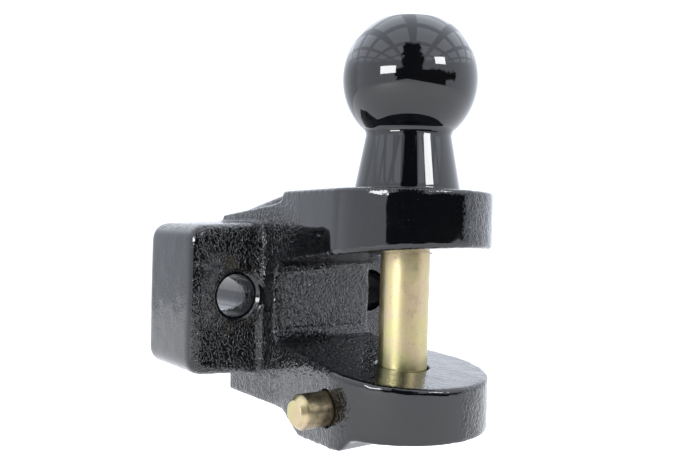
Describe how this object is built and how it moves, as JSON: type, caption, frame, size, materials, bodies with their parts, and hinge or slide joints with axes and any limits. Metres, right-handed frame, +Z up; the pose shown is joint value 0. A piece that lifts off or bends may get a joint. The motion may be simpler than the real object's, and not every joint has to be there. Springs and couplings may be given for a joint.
{
  "type": "trailer hitch with ball",
  "caption": "Cast jaw hitch with a tow ball on its upper arm, a vertical coupling pin, a push-in lock pin and a thick flange with bolt holes",
  "frame": {"origin": "The middle of the flange's back face, the face that is bolted to the vehicle, level with the bolt holes.", "axes": "+X is the flange's front direction, towards the nose; +Z is up, along the ball and the coupling pin; Y runs across, between the bolt holes, and the lock pin stands out on the -Y side."},
  "size_m": [0.134, 0.113, 0.1557],
  "materials": {
    "black_enamel": "gloss black enamel over a rough casting",
    "ball_black_enamel": "smooth gloss black enamel",
    "yellow_zinc_steel": "yellow passivated zinc plating",
    "lock_yellow_zinc_steel": "yellow passivated zinc plating",
    "plain_steel": "plain steel",
    "white_nylon": "natural nylon",
    "black_rubber": "black rubber"
  },
  "bodies": {
    "body": {"hitch_body": "black_enamel", "tow_ball": "ball_black_enamel", "stop_dowel": "plain_steel", "friction_plug": "white_nylon", "friction_spring": "plain_steel", "set_screw": "plain_steel"},
    "pin": {"coupling_pin": "yellow_zinc_steel", "pin_ring": "black_rubber"},
    "lock": {"lock_pin": "lock_yellow_zinc_steel"}
  },
  "joints": [
    {"name": "coupling_pin_slide", "type": "slide", "parent": "body", "child": "pin", "axis": [0, 0, -1], "range_m": [0, 0.085]},
    {"name": "lock_pin_slide", "type": "slide", "parent": "body", "child": "lock", "axis": [0, 1, 0], "range_m": [0, 0.012]}
  ]
}
